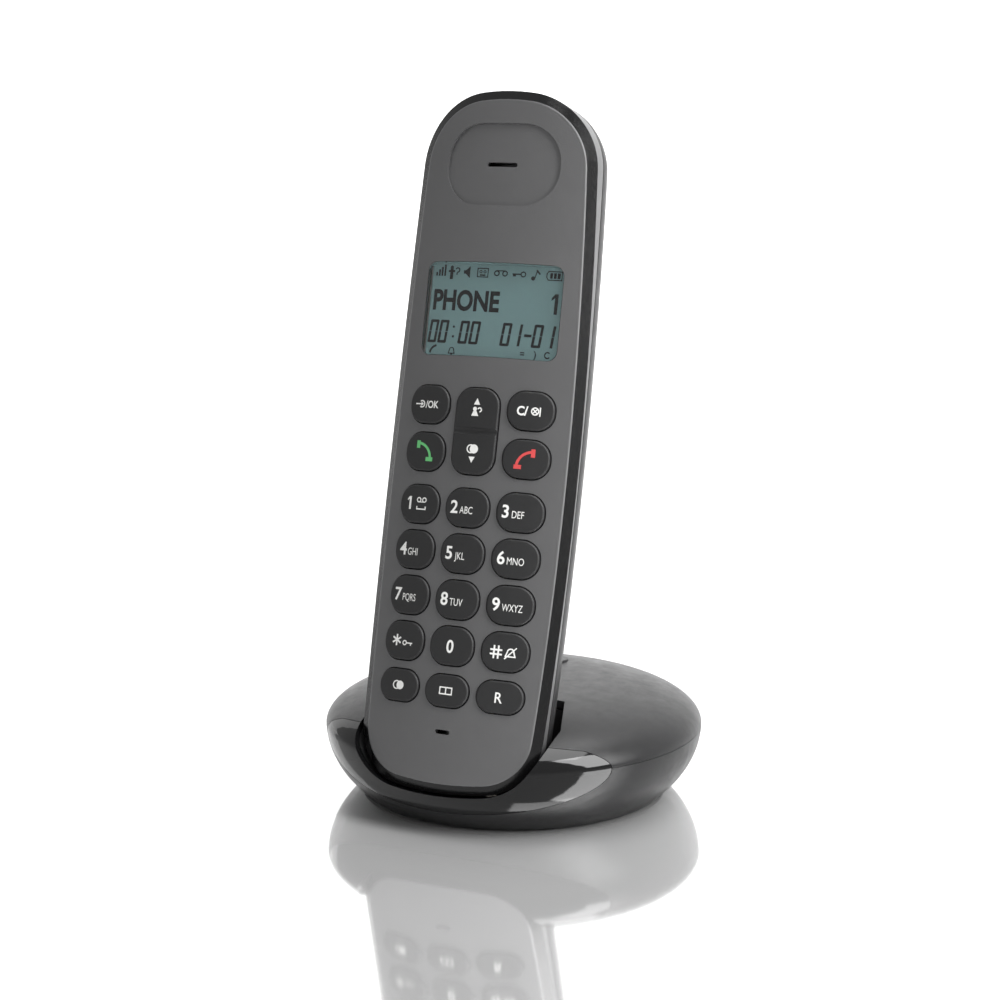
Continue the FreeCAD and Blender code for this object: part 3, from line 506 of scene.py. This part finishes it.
def display_signs():
    """Everything lit on the display: signs along the top and bottom, a name, a number, time and date."""
    faces = []
    for step, tall in enumerate((0.9, 1.5, 2.1, 2.7)):
        x, y = on_glass(0.045 + 0.021 * step, 0.135)
        faces += bar(x, y, x + 0.45, y + tall)
    sign_row = 0.085
    x, y = on_glass(0.165, sign_row)
    person = disc(0, 1.0, 0.42) + line([(0, 0.5), (0, -1.4)], 0.8) + line([(-0.6, 0.1), (0.6, 0.1)], 0.5)
    faces += moved(person, x, y)
    faces += moved(ring(0, 0.4, 0.5, 0.28, -100, 160) + line([(-0.1, -0.3), (-0.1, -0.6)], 0.28), x + 1.5, y)
    horn = [[(-1.0, -0.4), (-0.5, -0.4), (0.6, -1.4), (0.6, 1.4), (-0.5, 0.4), (-1.0, 0.4)]]
    cassette = line([(-1.3, -1.0), (1.3, -1.0), (1.3, 1.0), (-1.3, 1.0), (-1.3, -1.0)], 0.24)
    cassette += ring(-0.5, 0.2, 0.28, 0.2) + ring(0.5, 0.2, 0.28, 0.2) + bar(-0.7, -0.75, 0.7, -0.4)
    reels = ring(-1.0, 0, 0.55, 0.3) + ring(1.0, 0, 0.55, 0.3) + line([(-1.0, 0.6), (1.0, 0.6)], 0.26)
    lock = ring(1.0, 0, 0.55, 0.3) + line([(0.4, 0), (-1.5, 0)], 0.32) + bar(-1.5, -0.55, -0.75, 0.0)
    note = disc(-0.5, -0.8, 0.5) + line([(-0.1, -0.8), (0.35, 1.0)], 0.26)
    note += line([(0.35, 1.0), (1.0, 0.3)], 0.4)
    battery = line([(-1.5, -1.0), (1.8, -1.0), (1.8, 1.0), (-1.5, 1.0), (-1.9, 0.4), (-1.9, -0.4),
                    (-1.5, -1.0)], 0.24)
    battery += bar(-1.1, -0.65, -0.45, 0.65) + bar(-0.2, -0.65, 0.45, 0.65) + bar(0.7, -0.65, 1.4, 0.65)
    for across, sign in ((0.285, horn), (0.395, cassette), (0.525, reels), (0.655, lock), (0.77, note),
                         (0.905, battery)):
        faces += moved(sign, *on_glass(across, sign_row))
    name_tall, name_row = 4.75, 0.495
    faces += moved(word("PHONE", name_tall, 0.035, 0.78), *on_glass(0.045, name_row))
    faces += moved(figure_one(name_tall, 0.8), *on_glass(0.935, name_row))
    for figure, across in (("0", 0.03), ("0", 0.108), ("0", 0.262), ("0", 0.342),
                           ("0", 0.567), ("1", 0.642), ("-", 0.722), ("0", 0.79), ("1", 0.875)):
        x, y = on_glass(across, 0.855)
        faces += moved(segment_digit(figure), x, y, 1.04, 0.1)
    for down in (0.68, 0.785):
        x, y = on_glass(0.222, down)
        faces += disc(x, y, 0.3, 12)
    x, y = on_glass(0.085, 0.935)
    faces += moved(ring(1.6, -1.0, 2.0, 0.5, 100, 175, 12), x - 0.6, y)
    x, y = on_glass(0.222, 0.935)
    small_bell = ring(0, 0.1, 0.55, 0.24, 0, 180) + disc(0, -0.9, 0.22, 12)
    small_bell += line([(-0.55, 0.1), (-0.75, -0.7), (0.75, -0.7), (0.55, 0.1)], 0.24)
    faces += moved(small_bell, x, y)
    for across, sign in ((0.735, "="), (0.83, ")"), (0.905, "C")):
        x, y = on_glass(across, 0.965)
        faces += moved(word(sign, 1.6, 0.03, 0.9), x - 0.6, y)
    return faces


lcd_ink, _, _, shader = moulded_plastic("lcd_ink",
                                        (0.002, 0.005, 0.006), (0.003, 0.006, 0.007), 0.5, 0.6, 2500, 0.05)
shader.inputs["Specular IOR Level"].default_value = 0.1
artwork("lcd_segments", display_signs(), lambda x, y: panel_high.z + PRINT_LIFT, lcd_ink, "handset")

# ---------------------------------------------------------------- keys
# Twenty keys in matte black plastic. The legends are laser-marked through to a pale layer, and
# follow each key's crowned top. The two call keys are marked in green and red.

key_black, *_ = moulded_plastic("key_black",
                                (0.011, 0.011, 0.0115), (0.015, 0.015, 0.0155), 0.45, 0.58, 8000, 0.35)
KEYS = sorted(name for name in frame["nodes"] if name.startswith("key_") and name != "key_dome_sheet")
finish_nodes(key_black, *KEYS)
legend_pale, *_ = moulded_plastic("legend_pale", (0.72, 0.72, 0.7), (0.8, 0.8, 0.78), 0.45, 0.6, 3000, 0.1)
legend_green, *_ = moulded_plastic("legend_green", (0.1, 0.42, 0.14), (0.13, 0.5, 0.18), 0.45, 0.6, 3000, 0.1)
legend_red, *_ = moulded_plastic("legend_red", (0.55, 0.05, 0.05), (0.62, 0.07, 0.07), 0.45, 0.6, 3000, 0.1)


def receiver(turn):
    """A telephone receiver sign: a curved bar with an ear and a mouth piece."""
    faces = ring(-1.9, -1.7, 3.6, 0.62, 3, 87, 18)
    faces += line([(1.0, -1.75), (1.95, -1.75)], 0.95)
    faces += line([(-1.85, 1.2), (-1.85, 2.0)], 0.95)
    return moved(faces, turn=turn)


def bell():
    """A bell sign with a stroke through it."""
    faces = ring(0, 0.2, 0.75, 0.3, 0, 180, 16)
    faces += line([(-0.75, 0.2), (-1.1, -0.8), (1.1, -0.8), (0.75, 0.2)], 0.3)
    return faces + line([(-1.2, -1.3), (1.2, 1.2)], 0.28)


def key_legend(name):
    """The marks on one key, in millimetres from its centre."""
    figure_tall, base_line = 3.0, -1.35
    letters = {"2": "ABC", "3": "DEF", "4": "GHI", "5": "JKL",
               "6": "MNO", "7": "PQRS", "8": "TUV", "9": "WXYZ"}
    if name in letters:
        narrow = 0.72 if len(letters[name]) == 3 else 0.66
        return moved(word(name, figure_tall, 0.02, 0.95), -4.0, base_line) \
            + moved(word(letters[name], 1.75, 0.0, narrow), -1.65, base_line)
    if name == "1":
        tape = ring(-0.75, 0.95, 0.5, 0.26) + ring(0.75, 0.95, 0.5, 0.26)
        tape += line([(-0.75, 0.45), (0.75, 0.45)], 0.22)
        space = line([(-1.2, -0.7), (-1.2, -1.2), (1.2, -1.2), (1.2, -0.7)], 0.3)
        return moved(figure_one(figure_tall, 0.55), -2.5, base_line) + moved(tape + space, 0.7, 0.0)
    if name == "0":
        return moved(word("0", figure_tall, 0.02, 0.9), -1.1, -1.5)
    if name == "star":
        spoke = line([(0, 0), (0, 1.1)], 0.42)
        star = [face for turn in range(0, 360, 60) for face in moved(spoke, turn=turn)]
        key_sign = ring(-0.8, 0, 0.48, 0.26) + line([(-0.3, 0), (1.2, 0)], 0.28)
        key_sign += line([(0.9, 0), (0.9, -0.4)], 0.28)
        return moved(star, -1.9, 0.0) + moved(key_sign, 1.2, -0.5)
    if name == "hash":
        grid = line([(-0.5, -1.3), (-0.5, 1.3)], 0.4) + line([(0.5, -1.3), (0.5, 1.3)], 0.4) \
            + line([(-1.2, -0.5), (1.2, -0.5)], 0.4) + line([(-1.2, 0.5), (1.2, 0.5)], 0.4)
        return moved(grid, -1.8, -0.1) + moved(bell(), 1.5, -0.1)
    if name == "redial":
        return ring(-0.5, 0, 0.9, 0.3) + disc(0.5, 0, 1.0)
    if name == "book":
        page = line([(0, -0.7), (1.5, -0.7), (1.5, 0.8), (0.2, 0.8), (0, 0.55), (0, -0.7)], 0.28)
        return page + [[(-x, y) for x, y in face][::-1] for face in page]
    if name == "recall":
        return moved(word("R", 2.5, 0.01, 0.9), -0.9, -1.25)
    if name == "ok":
        arrow = ring(0, 0, 0.75, 0.28, -130, 130) + line([(-1.6, 0), (0.1, 0)], 0.3) \
            + [[(-0.2, 0.5), (-0.2, -0.5), (0.5, 0)]]
        return moved(arrow, -2.1, 0) + moved(word("/OK", 1.7, 0.02, 0.85), -1.0, -0.85)
    if name == "clear":
        mute = ring(0, 0, 0.8, 0.28) + bar(1.0, -1.1, 1.3, 1.0)
        mute += line([(-0.5, -0.5), (0.5, 0.5)], 0.26) + line([(-0.5, 0.5), (0.5, -0.5)], 0.26)
        return moved(word("C/", 2.1, 0.03, 0.9), -3.0, -1.05) + moved(mute, 1.2, 0)
    if name == "nav":
        person = disc(-0.5, 0.5, 0.5) + [[(-1.3, -1.1), (0.5, -1.1), (-0.1, 0.1), (-0.8, 0.1)]] \
            + ring(0.7, 0.35, 0.45, 0.3, -90, 160)
        return [[(-0.8, 6.1), (0.8, 6.1), (0, 7.6)]] + moved(person, 0.1, 4.6) \
            + ring(-0.45, -4.1, 0.9, 0.3) + disc(0.35, -4.1, 1.05) + [[(0.8, -5.9), (-0.8, -5.9), (0, -7.3)]]
    return []


for node in KEYS:
    name = node.removeprefix("key_")
    low, high = local_box(node)
    middle = (low + high) / 2
    top = BVHTree.FromObject(frame["nodes"][node], bpy.context.evaluated_depsgraph_get())

    def on_top(x, y, top=top, high=high):
        """How high a key's crowned top is at that place, and a little above it."""
        above = high.z + 2
        _, _, _, reach = top.ray_cast(HANDSET @ (Vector((x, y, above)) * MM), -OUTWARD)
        return above - reach / MM + PRINT_LIFT

    marks = {"talk": (receiver(0), legend_green),
             "end": (receiver(90), legend_red)}.get(name, (key_legend(name), legend_pale))
    artwork(f"legend_{name}", moved(marks[0], middle.x, middle.y), on_top, marks[1], node)

# ---------------------------------------------------------------- socket pins and grip ribs
# Rows of equal bars: gold-plated spring wires in both sockets, and moulded ribs that give the thumb a
# grip on the battery door. One Geometry Nodes group makes every row.


def bar_row_group():
    """A node group: a row of equal bars with a count, a size and a step."""
    group = bpy.data.node_groups.new("bar_row", "GeometryNodeTree")
    for name, kind in (("Geometry", "NodeSocketGeometry"), ("Count", "NodeSocketInt"),
                       ("Size", "NodeSocketVector"), ("Step", "NodeSocketVector"),
                       ("Material", "NodeSocketMaterial")):
        group.interface.new_socket(name, in_out="INPUT", socket_type=kind)
    group.interface.new_socket("Geometry", in_out="OUTPUT", socket_type="NodeSocketGeometry")
    inputs = group.nodes.new("NodeGroupInput")
    outputs = group.nodes.new("NodeGroupOutput")
    row = group.nodes.new("GeometryNodeMeshLine")
    cube = group.nodes.new("GeometryNodeMeshCube")
    place = group.nodes.new("GeometryNodeInstanceOnPoints")
    real = group.nodes.new("GeometryNodeRealizeInstances")
    paint = group.nodes.new("GeometryNodeSetMaterial")
    wire = group.links.new
    wire(inputs.outputs["Count"], row.inputs["Count"])
    wire(inputs.outputs["Step"], row.inputs["Offset"])
    wire(inputs.outputs["Size"], cube.inputs["Size"])
    wire(row.outputs["Mesh"], place.inputs["Points"])
    wire(cube.outputs["Mesh"], place.inputs["Instance"])
    wire(place.outputs["Instances"], real.inputs["Geometry"])
    wire(real.outputs["Geometry"], paint.inputs["Geometry"])
    wire(inputs.outputs["Material"], paint.inputs["Material"])
    wire(paint.outputs["Geometry"], outputs.inputs["Geometry"])
    return group


BAR_ROW = bar_row_group()


def bar_row(name, count, bar_size, step, first, axes, material, body):
    """A row of bars in millimetres: the first one's middle is at first, in the given axes."""
    holder = bpy.data.objects.new("holder", bpy.data.meshes.new("holder"))
    scene.collection.objects.link(holder)
    modifier = holder.modifiers.new("bars", "NODES")
    modifier.node_group = BAR_ROW
    wanted = {"Count": count, "Size": Vector(bar_size) * MM, "Step": Vector(step) * MM, "Material": material}
    for socket in BAR_ROW.interface.items_tree:
        if socket.name in wanted:
            modifier[socket.identifier] = wanted[socket.name]
    mesh = bpy.data.meshes.new_from_object(holder.evaluated_get(bpy.context.evaluated_depsgraph_get()))
    bpy.data.objects.remove(holder)
    mesh.transform(axes @ Matrix.Translation(Vector(first) * MM))
    piece = bpy.data.objects.new(name, mesh)
    scene.collection.objects.link(piece)
    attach(piece, body)


gold = bare_metal("gold", (0.8, 0.58, 0.25), (0.88, 0.66, 0.32), 0.15, 0.3)
for socket_name, pins in (("line_socket", 6), ("power_socket", 4)):
    low, high = (Vector(corner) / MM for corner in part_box(socket_name))
    pitch = 1.02
    start = ((low.x + high.x) / 2 - pitch * (pins - 1) / 2, high.y - 5.5, low.z + 2.9)
    bar_row(f"{socket_name}_pins", pins, (0.36, 6.4, 0.3), (pitch, 0, 0), start, Matrix.Identity(4), gold,
            "base")
door_low, door_high = local_box("battery_door")
first_rib = (0, door_high.y - 5.0, door_low.z + 0.02)
bar_row("battery_door_ribs", 6, (13.0, 0.7, 0.5), (0, -1.7, 0), first_rib, HANDSET, satin_black,
        "battery_door")

# ---------------------------------------------------------------- underside label
# A plain silver-grey sticker with rows of small unreadable print, stuck under the base between the feet.

label_silver, *_ = moulded_plastic("label_silver", (0.5, 0.5, 0.5), (0.58, 0.58, 0.57), 0.35, 0.45, 1500, 0.1)
label_print, *_ = moulded_plastic("label_print", (0.03, 0.03, 0.03), (0.05, 0.05, 0.05), 0.4, 0.5, 1500, 0.1)
floor_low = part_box("base_lower_shell")[0][2] / MM
label_thick = 0.08
print_thick = 0.04
label_middle = floor_low - label_thick / 2
print_middle = floor_low - (label_thick + print_thick / 2)
bar_row("underside_label", 1, (30.0, 17.0, label_thick), (1, 0, 0), (0, 2.0, label_middle),
        Matrix.Identity(4), label_silver, "base")
bar_row("underside_print", 5, (24.0, 0.7, print_thick), (0, -2.6, 0), (0, 7.2, print_middle),
        Matrix.Identity(4), label_print, "base")
